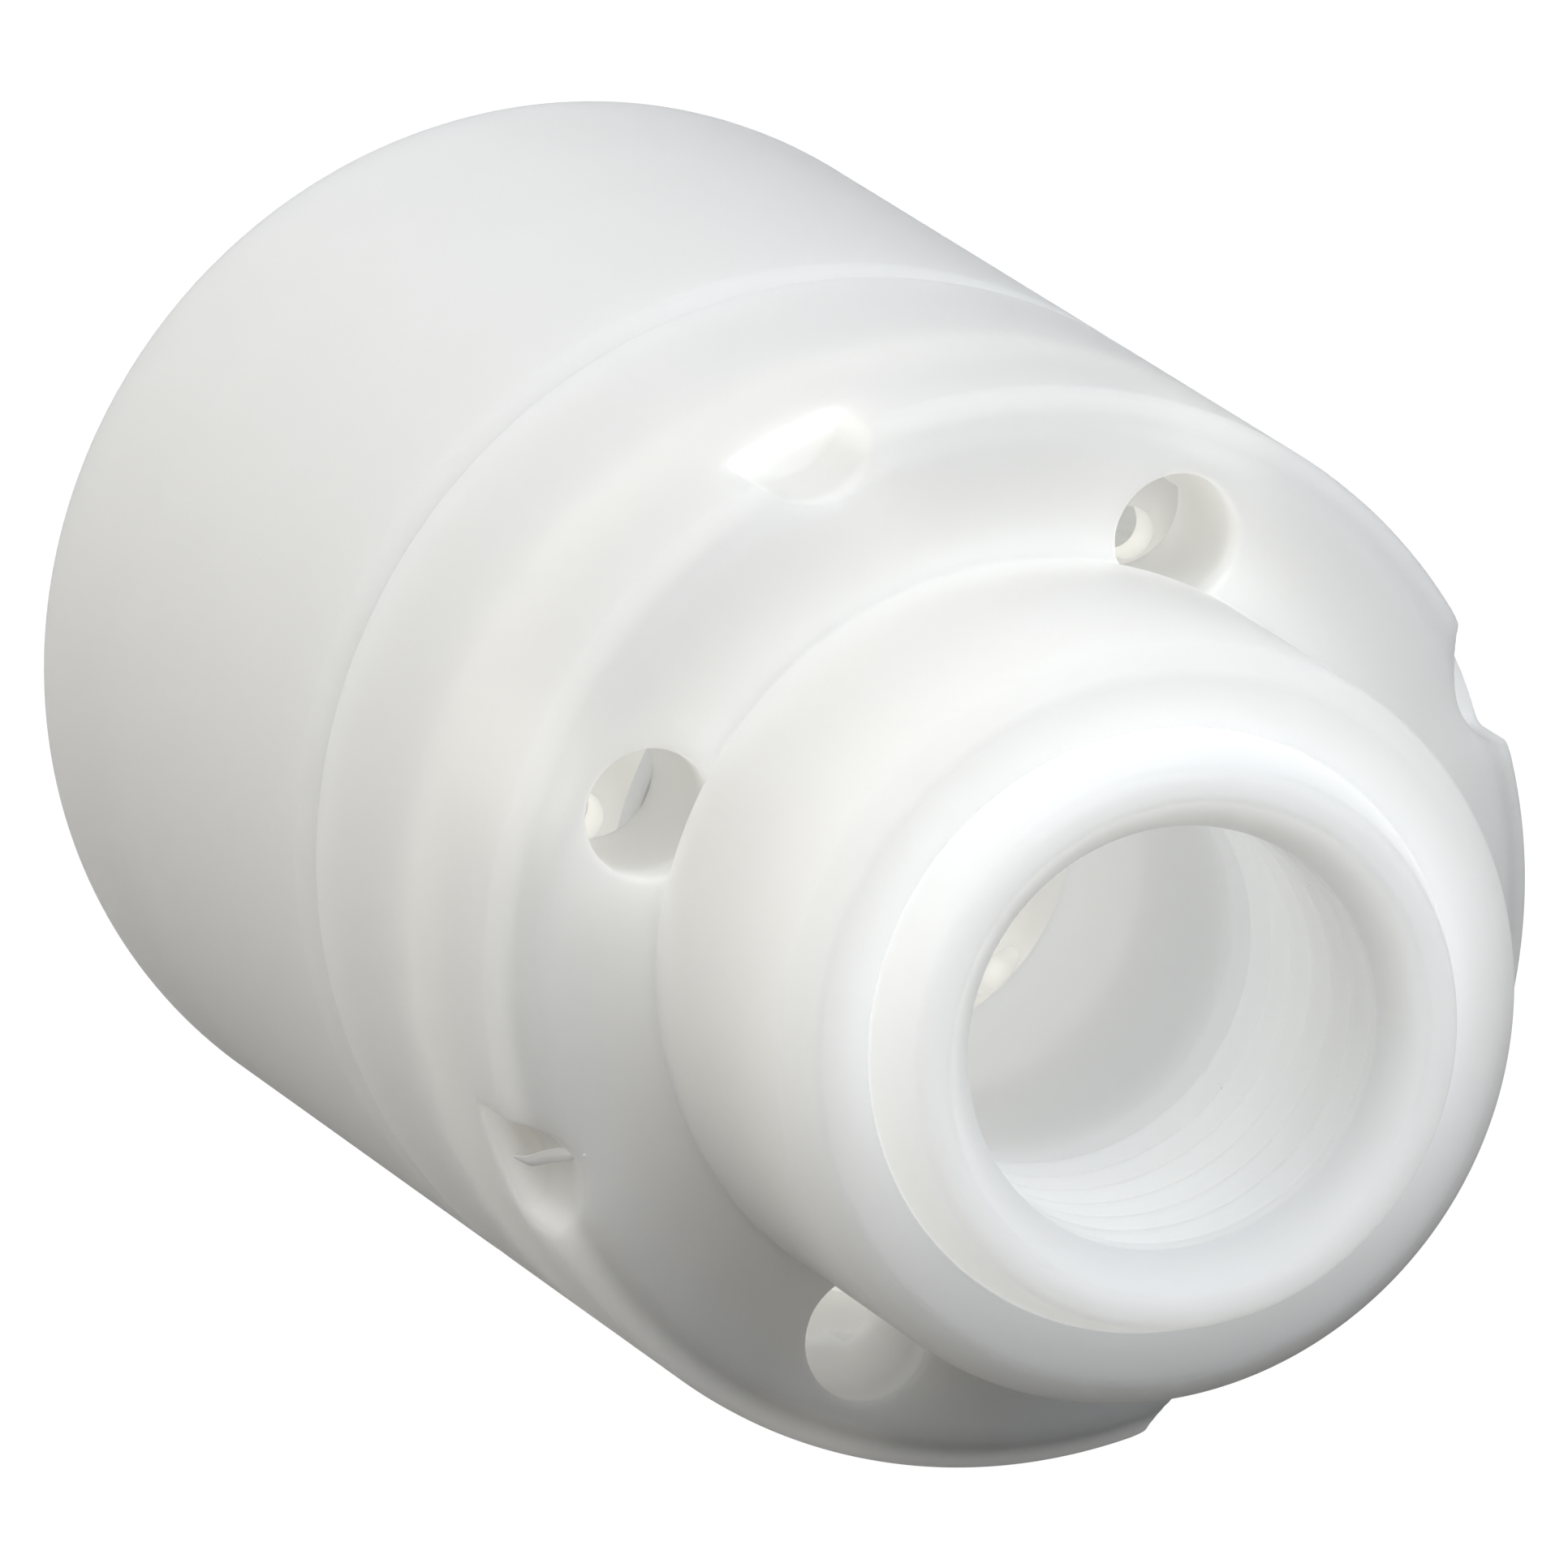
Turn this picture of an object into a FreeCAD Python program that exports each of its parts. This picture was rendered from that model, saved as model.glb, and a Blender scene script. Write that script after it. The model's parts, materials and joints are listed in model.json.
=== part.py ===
import FreeCAD, Part
import math
import os
import re
import Sketcher

# Pneumatic muffler turned from white fluoropolymer bar: a port cap and a rear can that screw
# together around a perforated diffuser and a stack of absorber rings.
#
# Frame: millimetres, +Z up. The axis of the muffler is the Y axis. The origin is the centre of
# the inlet port's mouth, the inlet opens towards -Y and the closed end of the can is at +Y.
# A "station" is a distance along +Y from the mouth. A "radius" is measured from the Y axis.

# alias, value, meaning
DRIVING_DIMENSIONS = [
    ("body_radius", 14.3, "outer radius of both housing halves, 1-1/8 inch bar"),
    ("rim_chamfer", 1.05, "45 degree chamfer on the cap's rim"),
    ("rear_chamfer", 0.3, "edge break on the can's closed end"),
    ("rear_station", 46.3, "outside of the can's closed end"),
    ("seam_station", 24.65, "rear edge of the cap's skirt"),
    ("seam_chamfer_length", 1.45, "axial length of the can's chamfer behind the seam"),

    ("hub_front", 0.9, "front face of the cap's hub"),
    ("hub_chamfer_length", 0.85, "axial length of the hub's chamfer"),
    ("hub_chamfer_depth", 0.75, "radial depth of the hub's chamfer"),
    ("hub_radius", 10.05, "outer radius of the hub"),
    ("cap_face", 10.65, "front face of the cap around the hub"),
    ("cap_wall_back", 15.1, "inside of the cap's end wall"),
    ("plenum_radius", 12.0, "radius of the space that the exhaust holes open into"),
    ("plate_seat", 16.7, "step that the retainer plate sits on"),
    ("skirt_bore", 12.9, "mean radius of the skirt's threaded bore"),
    ("seal_bore", 13.15, "plain bore at the skirt's rear edge, around the seal ring"),
    ("seal_bore_front", 22.3, "station where the threaded bore widens to the seal's bore"),

    ("port_radius", 5.55, "tapping radius of a 1/4-18 pipe thread"),
    ("bead_station", -1.22, "crest of the bead around the port"),
    ("bead_inner_radius", 6.57, "radius where the bead's countersink starts"),
    ("bead_outer_rounding", 1.0, "rounding of the bead's outer edge"),
    ("bead_inner_rounding", 0.3, "rounding of the bead's inner edge"),
    ("insert_radius", 7.9, "outer radius of the insert in the hub"),
    ("insert_flange_radius", 9.2, "radius of the insert's flange behind the end wall"),
    ("insert_tube_radius", 6.9, "outer radius of the insert's tube"),
    ("insert_tube_end", 21.8, "rear end of the insert's tube"),
    ("gasket_thickness", 0.5, "flat gasket between the end wall and the insert's flange"),

    ("exhaust_radius", 1.7, "radius of each exhaust hole"),
    ("exhaust_circle", 11.05, "radius of the circle of exhaust holes"),
    ("exhaust_count", 4, "number of exhaust holes"),
    ("notch_radius", 1.86, "radius of each spanner notch"),
    ("notch_circle", 14.9, "radius of the circle that the notch centres lie on"),
    ("notch_floor", 13.8, "flat floor of the spanner notches"),
    ("notch_count", 4, "number of spanner notches"),
    ("clocking", 22.5, "angle in degrees from +Z to the first notch and exhaust hole"),

    ("plate_thickness", 1.2, "retainer plate"),
    ("plate_rim_clearance", 0.1, "radial gap around the retainer plate"),
    ("plate_hole_radius", 0.7, "radius of each hole in the retainer plate"),
    ("plate_hole_circle", 10.3, "radius of the circle of holes in the retainer plate"),
    ("plate_hole_count", 24, "number of holes in the retainer plate"),

    ("assembly_gap", 0.05, "radial gap between pieces that slip over each other"),
    ("press_gap", 0.02, "radial gap drawn where one piece is pressed into another"),
    ("diffuser_radius", 7.7, "outer radius of the perforated diffuser tube"),
    ("diffuser_bore", 6.95, "inner radius of the perforated diffuser tube"),
    ("diffuser_hole_radius", 0.8, "radius of each hole in the diffuser tube"),
    ("diffuser_first_row", 23.6, "station of the first row of holes"),
    ("diffuser_row_pitch", 1.95, "distance between rows of holes"),
    ("diffuser_rows", 7, "number of rows of holes"),
    ("diffuser_column_pairs", 4, "number of pairs of opposite columns of holes"),
    ("mesh_inner_radius", 7.75, "inside of the mesh sleeve"),
    ("mesh_outer_radius", 8.05, "outside of the mesh sleeve"),
    ("stack_inner_radius", 8.1, "bore of the absorber and filter rings"),
    ("stack_outer_radius", 11.0, "outer radius of the absorber and filter rings"),
    ("stack_end", 38.6, "rear end of the stack and of the diffuser tube"),
    ("filter_thickness", 1.2, "porous filter ring behind the retainer plate"),
    ("absorber_count", 5, "number of absorber rings in the stack"),
    ("separator_thickness", 0.6, "separator washers between the absorber rings"),
    ("separator_hole_radius", 0.6, "radius of each hole in a separator washer"),
    ("separator_hole_circle", 9.55, "radius of the circle of holes in a separator washer"),
    ("separator_hole_count", 20, "number of holes in a separator washer"),
    ("plug_flange_radius", 10.9, "flange of the end plug behind the stack"),
    ("plug_flange_thickness", 1.4, "thickness of that flange"),
    ("plug_spigot_length", 3.0, "length of the plug inside the diffuser tube"),

    ("can_bore", 11.2, "radius of the can's chamber"),
    ("can_floor", 42.8, "inside of the can's closed end"),
    ("spigot_radius", 12.8, "mean radius of the can's threaded spigot"),
    ("collar_radius", 13.05, "plain collar between the spigot's thread and the seam"),
    ("collar_front", 22.5, "front face of the collar"),
    ("seal_groove_front", 22.9, "front wall of the seal ring's groove"),
    ("seal_groove_width", 1.3, "width of the seal ring's groove"),
    ("seal_groove_radius", 12.19, "radius of the bottom of the groove"),
    ("seal_ring_radius", 12.66, "radius to the middle of the seal ring's section"),
    ("seal_section_radius", 0.46, "radius of the seal ring's section"),
    ("pad_radius", 11.1, "outer radius of the rear pad"),
]

doc = FreeCAD.newDocument("PneumaticMuffler")
nodes = []


def make_sheet(rows):
    """Put the driving dimensions into a spreadsheet, one row each, and return their values."""
    sheet = doc.addObject("Spreadsheet::Sheet", "Sizes")
    for row, (alias, value, meaning) in enumerate(rows, start=1):
        sheet.set(f"A{row}", meaning)
        sheet.set(f"B{row}", str(value))
        sheet.setAlias(f"B{row}", alias)
    doc.recompute()
    return {alias: value for alias, value, meaning in rows}


size = make_sheet(DRIVING_DIMENSIONS)


def bound(formula):
    """Turn a formula in plain aliases into one that reads the spreadsheet."""
    return re.sub(r"[a-z_]+", lambda word: f"Sizes.{word[0]}" if word[0] in size else word[0], formula)


def new_body(label):
    """Start a sub-part: its label becomes the name of its node and its file."""
    body = doc.addObject("PartDesign::Body", label)
    body.Label = label
    body.Placement = FreeCAD.Placement()
    nodes.append(body)
    return body


def origin_feature(body, role):
    """One of the body's own origin planes or axes."""
    return [item for item in body.Origin.OriginFeatures if item.Role == role][0]


def sketch_on(body, plane_role, name):
    """An empty sketch on one of the body's own origin planes."""
    sketch = body.newObject("Sketcher::SketchObject", name)
    sketch.AttachmentSupport = (origin_feature(body, plane_role), [""])
    sketch.MapMode = "FlatFace"
    return sketch


def turn(label, outline):
    """A solid of revolution about the Y axis from a closed outline of (station, radius) formulas."""
    body = new_body(label)
    sketch = sketch_on(body, "YZ_Plane", f"{label}_outline")
    count = len(outline)
    start = [FreeCAD.Vector(math.cos(2 * math.pi * i / count), 2 + math.sin(2 * math.pi * i / count), 0)
             for i in range(count)]
    for i in range(count):
        sketch.addGeometry(Part.LineSegment(start[i], start[(i + 1) % count]), False)
    for i in range(count):
        sketch.addConstraint(Sketcher.Constraint("Coincident", i, 2, (i + 1) % count, 1))
    for i, (station, radius) in enumerate(outline):
        for kind, formula in (("DistanceX", station), ("DistanceY", radius)):
            constraint = sketch.addConstraint(Sketcher.Constraint(kind, -1, 1, i, 1, 1.0))
            sketch.setExpression(f"Constraints[{constraint}]", bound(formula))
    doc.recompute()
    turning = body.newObject("PartDesign::Revolution", f"{label}_turning")
    turning.Profile = sketch
    turning.ReferenceAxis = (sketch, ["H_Axis"])
    turning.Angle = 360
    doc.recompute()
    return body


def turn_ring(label, front, back, inner, outer):
    """A plain ring with a square section."""
    return turn(label, [(front, inner), (front, outer), (back, outer), (back, inner)])


def cut_smaller(body, before, what):
    """Stop if a cut has taken nothing away."""
    if not body.Shape.Volume < before - 0.01:
        raise RuntimeError(f"{what} cuts nothing")


def drill_ring(body, name, hole_radius, circle_radius, start, end, count, angle="0"):
    """Axial holes from one station back to another, on a circle about the axis."""
    before = body.Shape.Volume
    sketch = sketch_on(body, "XZ_Plane", f"{name}_sketch")
    sketch.setExpression("AttachmentOffset.Base.z", bound(f"0 - ({start})"))
    sketch.addGeometry(Part.Circle(FreeCAD.Vector(1, 5, 0), FreeCAD.Vector(0, 0, 1), 1.0), False)
    values = (("Radius", (0,), hole_radius),
              ("DistanceX", (-1, 1, 0, 3), f"({circle_radius}) * sin(({angle}) * 1 deg)"),
              ("DistanceY", (-1, 1, 0, 3), f"({circle_radius}) * cos(({angle}) * 1 deg)"))
    for kind, places, formula in values:
        constraint = sketch.addConstraint(Sketcher.Constraint(kind, *places, 1.0))
        sketch.setExpression(f"Constraints[{constraint}]", bound(formula))
    doc.recompute()
    pocket = body.newObject("PartDesign::Pocket", f"{name}_pocket")
    pocket.Profile = sketch
    pocket.setExpression("Length", bound(f"({end}) - ({start})"))
    doc.recompute()
    cut_smaller(body, before, name)
    pattern_about_axis(body, pocket, name, count)


def pattern_about_axis(body, feature, name, count, angle="360"):
    """Repeat a feature about the Y axis, evenly over an angle in degrees."""
    before = body.Shape.Volume
    pattern = body.newObject("PartDesign::PolarPattern", f"{name}_pattern")
    pattern.Originals = [feature]
    pattern.Axis = (origin_feature(body, "Y_Axis"), [""])
    pattern.setExpression("Angle", bound(angle))
    pattern.setExpression("Occurrences", bound(count))
    body.Tip = pattern
    doc.recompute()
    cut_smaller(body, before, name)


def round_edge(body, name, station, radius, rounding):
    """Round the circular edge that lies at a station and a radius."""
    base = body.Tip
    edges = []
    for number, edge in enumerate(base.Shape.Edges, start=1):
        is_circle = isinstance(edge.Curve, Part.Circle)
        if is_circle and abs(edge.Curve.Radius - radius) < 1e-4:
            if abs(edge.Curve.Center.y - station) < 1e-4:
                edges.append(f"Edge{number}")
    fillet = body.newObject("PartDesign::Fillet", name)
    fillet.Base = (base, edges)
    fillet.setExpression("Radius", bound(rounding))
    doc.recompute()


def make_front_cap():
    """Port cap: hub, end wall with exhaust holes and spanner notches, and threaded skirt."""
    body = turn("front_cap", [
        ("hub_front", "insert_radius + press_gap"),
        ("hub_front", "hub_radius - hub_chamfer_depth"),
        ("hub_front + hub_chamfer_length", "hub_radius"),
        ("cap_face", "hub_radius"),
        ("cap_face", "body_radius - rim_chamfer"),
        ("cap_face + rim_chamfer", "body_radius"),
        ("seam_station", "body_radius"),
        ("seam_station", "seal_bore"),
        ("seal_bore_front", "seal_bore"),
        ("seal_bore_front", "skirt_bore"),
        ("plate_seat", "skirt_bore"),
        ("plate_seat", "plenum_radius"),
        ("cap_wall_back", "plenum_radius"),
        ("cap_wall_back", "insert_radius + press_gap"),
    ])
    # the exhaust holes are bored from behind and end at the cap's face, so they leave the hub whole
    drill_ring(body, "exhaust_holes", "exhaust_radius", "exhaust_circle", "cap_face", "plate_seat",
               "exhaust_count", "clocking")
    # the notches are half way between the exhaust holes and open at the rim
    drill_ring(body, "spanner_notches", "notch_radius", "notch_circle", "0", "notch_floor",
               "notch_count", "0 - clocking")


def make_inlet_insert():
    """Pipe-thread insert: bead, tapped bore, flange behind the end wall and tube."""
    body = turn("inlet_insert", [
        ("0", "port_radius"),
        ("bead_station", "bead_inner_radius"),
        ("bead_station", "insert_radius"),
        ("cap_wall_back + gasket_thickness", "insert_radius"),
        ("cap_wall_back + gasket_thickness", "insert_flange_radius"),
        ("plate_seat", "insert_flange_radius"),
        ("plate_seat", "insert_tube_radius"),
        ("insert_tube_end", "insert_tube_radius"),
        ("insert_tube_end", "port_radius"),
    ])
    round_edge(body, "bead_outer_fillet", size["bead_station"], size["insert_radius"],
               "bead_outer_rounding")
    round_edge(body, "bead_inner_fillet", size["bead_station"], size["bead_inner_radius"],
               "bead_inner_rounding")


def make_insert_gasket():
    """Flat gasket between the cap's end wall and the insert's flange."""
    turn_ring("insert_gasket", "cap_wall_back", "cap_wall_back + gasket_thickness",
              "insert_radius + assembly_gap", "insert_flange_radius")


def make_retainer_plate():
    """Perforated plate clamped between the cap's step and the can's spigot."""
    body = turn_ring("retainer_plate", "plate_seat", "plate_seat + plate_thickness",
                     "insert_tube_radius + assembly_gap", "skirt_bore - plate_rim_clearance")
    drill_ring(body, "plate_holes", "plate_hole_radius", "plate_hole_circle", "0",
               "plate_seat + plate_thickness + 1", "plate_hole_count")


def make_diffuser_tube():
    """Perforated tube on the insert's tube: rows of holes along pairs of opposite columns."""
    body = turn_ring("diffuser_tube", "plate_seat + plate_thickness", "stack_end",
                     "diffuser_bore", "diffuser_radius")
    before = body.Shape.Volume
    sketch = sketch_on(body, "XY_Plane", "diffuser_holes_sketch")
    for row in range(size["diffuser_rows"]):
        start = FreeCAD.Vector(0, 1 + row, 0)
        sketch.addGeometry(Part.Circle(start, FreeCAD.Vector(0, 0, 1), 1.0), False)
        sketch.addConstraint(Sketcher.Constraint("PointOnObject", row, 3, -2))
        place = sketch.addConstraint(Sketcher.Constraint("DistanceY", -1, 1, row, 3, 1.0))
        station = f"diffuser_first_row + {row} * diffuser_row_pitch"
        sketch.setExpression(f"Constraints[{place}]", bound(station))
        width = sketch.addConstraint(Sketcher.Constraint("Radius", row, 1.0))
        sketch.setExpression(f"Constraints[{width}]", bound("diffuser_hole_radius"))
    doc.recompute()
    pocket = body.newObject("PartDesign::Pocket", "diffuser_holes_pocket")
    pocket.Profile = sketch
    pocket.Midplane = True
    pocket.setExpression("Length", bound("3 * diffuser_radius"))
    doc.recompute()
    cut_smaller(body, before, "diffuser_holes")
    # each cut goes through both walls, so the columns only need half a turn
    pattern_about_axis(body, pocket, "diffuser_holes", "diffuser_column_pairs",
                       "180 * (diffuser_column_pairs - 1) / diffuser_column_pairs")


def make_mesh_sleeve():
    """Fine mesh around the diffuser, drawn as a thin closed tube."""
    turn_ring("mesh_sleeve", "plate_seat + plate_thickness", "stack_end",
              "mesh_inner_radius", "mesh_outer_radius")


def make_filter_ring():
    """Porous ring between the retainer plate and the first absorber ring."""
    turn_ring("filter_ring", "plate_seat + plate_thickness",
              "plate_seat + plate_thickness + filter_thickness",
              "stack_inner_radius", "stack_outer_radius")


def make_absorber_stack():
    """Absorber rings with a perforated separator washer between each two."""
    stack_front = "plate_seat + plate_thickness + filter_thickness"
    separators = "(absorber_count - 1)"
    ring = f"(stack_end - ({stack_front}) - {separators} * separator_thickness) / absorber_count"
    for number in range(size["absorber_count"]):
        front = f"{stack_front} + {number} * ({ring} + separator_thickness)"
        turn_ring(f"absorber_ring_{number + 1}", front, f"{front} + {ring}",
                  "stack_inner_radius", "stack_outer_radius")
        if number < size["absorber_count"] - 1:
            washer = turn_ring(f"separator_{number + 1}", f"{front} + {ring}",
                               f"{front} + {ring} + separator_thickness",
                               "stack_inner_radius", "stack_outer_radius")
            drill_ring(washer, f"separator_{number + 1}_holes", "separator_hole_radius",
                       "separator_hole_circle", "0", "stack_end", "separator_hole_count")


def make_end_plug():
    """Plug that closes the diffuser tube, with a flange that holds the stack."""
    turn("end_plug", [
        ("stack_end - plug_spigot_length", "0"),
        ("stack_end - plug_spigot_length", "diffuser_bore - press_gap"),
        ("stack_end", "diffuser_bore - press_gap"),
        ("stack_end", "plug_flange_radius"),
        ("stack_end + plug_flange_thickness", "plug_flange_radius"),
        ("stack_end + plug_flange_thickness", "0"),
    ])


def make_rear_can():
    """Closed can with a threaded spigot, a seal groove and a chamfer at the seam."""
    turn("rear_can", [
        ("plate_seat + plate_thickness", "can_bore"),
        ("plate_seat + plate_thickness", "spigot_radius"),
        ("collar_front", "spigot_radius"),
        ("collar_front", "collar_radius"),
        ("seal_groove_front", "collar_radius"),
        ("seal_groove_front", "seal_groove_radius"),
        ("seal_groove_front + seal_groove_width", "seal_groove_radius"),
        ("seal_groove_front + seal_groove_width", "collar_radius"),
        ("seam_station", "collar_radius"),
        ("seam_station + seam_chamfer_length", "body_radius"),
        ("rear_station - rear_chamfer", "body_radius"),
        ("rear_station", "body_radius - rear_chamfer"),
        ("rear_station", "0"),
        ("can_floor", "0"),
        ("can_floor", "can_bore"),
    ])


def make_seal_ring():
    """O-ring in the spigot's groove."""
    ring = doc.addObject("Part::Torus", "seal_ring")
    ring.Label = "seal_ring"
    ring.setExpression("Radius1", bound("seal_ring_radius"))
    ring.setExpression("Radius2", bound("seal_section_radius"))
    ring.setExpression(".Placement.Base.y", bound("seal_groove_front + seal_groove_width / 2"))
    ring.Placement = FreeCAD.Placement(FreeCAD.Vector(0, 0, 0),
                                       FreeCAD.Rotation(FreeCAD.Vector(1, 0, 0), 90))
    nodes.append(ring)


def make_rear_pad():
    """Felt pad between the end plug and the can's closed end."""
    turn("rear_pad", [
        ("stack_end + plug_flange_thickness", "0"),
        ("stack_end + plug_flange_thickness", "pad_radius"),
        ("can_floor", "pad_radius"),
        ("can_floor", "0"),
    ])


def check_document():
    """Stop if any object of the document failed or any sub-part is not one valid solid."""
    doc.recompute()
    failed = [item.Name for item in doc.Objects if {"Invalid", "Error"} & set(item.State)]
    if failed:
        raise RuntimeError(f"failed objects: {failed}")
    for node in nodes:
        shape = node.Shape
        if shape.isNull() or not shape.isValid() or len(shape.Solids) != 1:
            raise RuntimeError(f"{node.Label} is not one valid solid")


def write_parts():
    """Write each sub-part to its own file."""
    os.makedirs("parts", exist_ok=True)
    for node in nodes:
        node.Shape.exportStep(f"parts/{node.Label}.step")
        box = node.Shape.BoundBox
        print(f"{node.Label:18s} {node.Shape.Volume:9.1f} mm3  y {box.YMin:6.2f} to {box.YMax:6.2f}"
              f"  radius {box.XMax:5.2f}")


make_front_cap()
make_inlet_insert()
make_insert_gasket()
make_retainer_plate()
make_filter_ring()
make_diffuser_tube()
make_mesh_sleeve()
make_absorber_stack()
make_end_plug()
make_rear_can()
make_seal_ring()
make_rear_pad()
check_document()
write_parts()
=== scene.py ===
import bmesh
import bpy
import json
import math
import random
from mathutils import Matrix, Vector
from mathutils.kdtree import KDTree


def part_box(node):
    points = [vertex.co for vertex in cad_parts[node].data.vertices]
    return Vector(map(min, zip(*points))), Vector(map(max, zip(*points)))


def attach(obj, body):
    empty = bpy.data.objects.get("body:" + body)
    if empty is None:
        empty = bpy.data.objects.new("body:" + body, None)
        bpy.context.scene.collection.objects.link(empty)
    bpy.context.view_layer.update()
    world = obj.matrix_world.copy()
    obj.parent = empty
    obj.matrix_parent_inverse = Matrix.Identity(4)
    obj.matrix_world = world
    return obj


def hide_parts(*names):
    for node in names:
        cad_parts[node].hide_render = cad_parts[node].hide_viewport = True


# A white fluoropolymer pneumatic muffler: port cap, pipe-thread insert and screwed-on rear can, with
# the diffuser, mesh, felt rings, separators, seal and pads inside it.
#
# Shapes are written in millimetres as turned outlines of (station, radius) points. A station is a
# distance along +Y from the port's mouth, and the radius is measured from the Y axis. An angle turns
# from +Z towards +X, as the right-hand rule about +Y has it.

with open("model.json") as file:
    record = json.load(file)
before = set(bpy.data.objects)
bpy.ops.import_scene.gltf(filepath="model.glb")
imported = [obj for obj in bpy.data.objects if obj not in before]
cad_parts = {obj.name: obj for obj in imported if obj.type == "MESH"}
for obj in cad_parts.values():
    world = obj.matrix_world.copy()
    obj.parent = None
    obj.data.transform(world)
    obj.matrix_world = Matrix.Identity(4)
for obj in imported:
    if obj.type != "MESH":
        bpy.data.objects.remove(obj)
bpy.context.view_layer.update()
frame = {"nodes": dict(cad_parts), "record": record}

MM = 0.001
SEGMENTS = 288
FINE_SEGMENTS = 600
FINE_STEP = 0.14


def corners_mm(node):
    """Lowest and highest corner of a CAD node, in millimetres."""
    low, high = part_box(node)
    return low / MM, high / MM


cap_low, cap_high = corners_mm("front_cap")
can_low, can_high = corners_mm("rear_can")
insert_low, insert_high = corners_mm("inlet_insert")
plate_low = corners_mm("retainer_plate")[0]

BODY_RADIUS = cap_high.x
HUB_FRONT = cap_low.y
SEAM = cap_high.y
CAN_FRONT = can_low.y
CAN_REAR = can_high.y
PLATE_SEAT = plate_low.y
TUBE_END = insert_high.y

# the cap, in millimetres
HUB_RADIUS = 10.05
CAP_FACE = 10.65
HUB_FOOT_ROUND = 0.08
HUB_CHAMFER_ALONG = 0.85
HUB_CHAMFER_ACROSS = 0.75
CAP_WALL_BACK = 15.1
RIM_CHAMFER = 1.05
PLENUM_RADIUS = 12.0
SEAL_BORE = 13.15
SEAL_BORE_FRONT = 22.3
INSERT_RADIUS = 7.9
HUB_BORE_GAP = 0.004
EXHAUST_RADIUS = 1.7
EXHAUST_CIRCLE = 11.05
NOTCH_RADIUS = 1.86
NOTCH_CIRCLE = 14.9
NOTCH_FLOOR = 13.8
CLOCKING = 22.5

# the inlet's 1/4-18 pipe thread
PORT_RADIUS = frame["record"]["mounts"][0]["dims"]["r_mm"]
PIPE_PITCH = 25.4 / 18
PIPE_THREAD_START = 0.1
PIPE_THREAD_END = 10.9
PIPE_THREAD_DEPTH = 0.6
PIPE_THREAD_LEAD_IN = 0.6
PIPE_THREAD_RUN_OUT = 1.6

# the thread between cap and can
SCREW_PITCH = 1.5
SCREW_DEPTH = 0.45
SKIRT_THREAD_CREST = 12.7
SPIGOT_THREAD_ROOT = 12.6

# a point this near to a thread's radius lies on the stretch that gets the thread
ON_THREAD = 0.02


# ---------------------------------------------------------------- outlines and turned meshes

def rounded(corners, steps=6):
    """A closed outline from (station, radius, rounding) corners, each corner drawn as an arc."""
    points = []
    count = len(corners)
    for i, (station, radius, rounding) in enumerate(corners):
        here = Vector((station, radius))
        if rounding <= 0:
            points.append(here)
            continue
        back = Vector(corners[i - 1][:2]) - here
        ahead = Vector(corners[(i + 1) % count][:2]) - here
        turn = back.angle(ahead)
        reach = min(rounding / math.tan(turn / 2), 0.48 * back.length, 0.48 * ahead.length)
        start = here + back.normalized() * reach
        end = here + ahead.normalized() * reach
        for step in range(steps + 1):
            t = step / steps
            # a quadratic Bezier arc, tangent to both sides of the corner
            points.append(start * (1 - t) ** 2 + here * 2 * t * (1 - t) + end * t ** 2)
    return points


def densify(points, step, chosen=None):
    """Split an outline's stretches into short ones where chosen(middle of the stretch) holds."""
    dense = []
    count = len(points)
    for i, point in enumerate(points):
        dense.append(point)
        run = points[(i + 1) % count] - point
        if chosen is None or chosen(point + run / 2):
            pieces = max(1, round(run.length / step))
            dense += [point + run * (k / pieces) for k in range(1, pieces)]
    return dense


def turned_mesh(name, outline, relief=None, segments=SEGMENTS):
    """Turn a closed outline about the Y axis. relief(station, radius, angle) may change the radius."""
    mesh = bpy.data.meshes.new(name)
    rings = len(outline)
    verts = []
    for s in range(segments):
        angle = 2 * math.pi * s / segments
        for point in outline:
            radius = point.y if relief is None else relief(point.x, point.y, angle)
            verts.append((radius * math.sin(angle) * MM, point.x * MM, radius * math.cos(angle) * MM))
    faces = []
    for s in range(segments):
        here, there = s * rings, (s + 1) % segments * rings
        for k in range(rings):
            k2 = (k + 1) % rings
            faces.append((here + k, here + k2, there + k2, there + k))
    mesh.from_pydata(verts, [], faces)
    bm = bmesh.new()
    bm.from_mesh(mesh)
    bmesh.ops.remove_doubles(bm, verts=bm.verts, dist=1e-7)
    bmesh.ops.recalc_face_normals(bm, faces=bm.faces)
    bm.to_mesh(mesh)
    bm.free()
    return mesh


def new_object(name, mesh, smooth_angle=None):
    """Link a mesh as a smooth-shaded object, with edges sharper than the angle kept sharp."""
    mesh.shade_smooth()
    if smooth_angle is not None:
        mesh.set_sharp_from_angle(angle=math.radians(smooth_angle))
    obj = bpy.data.objects.new(name, mesh)
    bpy.context.scene.collection.objects.link(obj)
    return obj


def applied(obj):
    """The object's mesh with its modifiers applied, and the modifiers taken off."""
    bpy.context.view_layer.update()
    graph = bpy.context.evaluated_depsgraph_get()
    mesh = bpy.data.meshes.new_from_object(obj.evaluated_get(graph))
    obj.modifiers.clear()
    obj.data = mesh
    return obj


def drop(obj):
    """Delete a helper object."""
    bpy.data.objects.remove(obj, do_unlink=True)


def smooth_step(low, high, value):
    """0 below low, 1 above high, and a smooth rise between."""
    t = min(max((value - low) / (high - low), 0.0), 1.0)
    return t * t * (3 - 2 * t)


def helix_phase(station, angle, pitch):
    """Where a point lies within one pitch of a right-hand thread, from 0 to 1."""
    return (station / pitch - angle / (2 * math.pi)) % 1.0


# ---------------------------------------------------------------- the pieces' shapes

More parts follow.
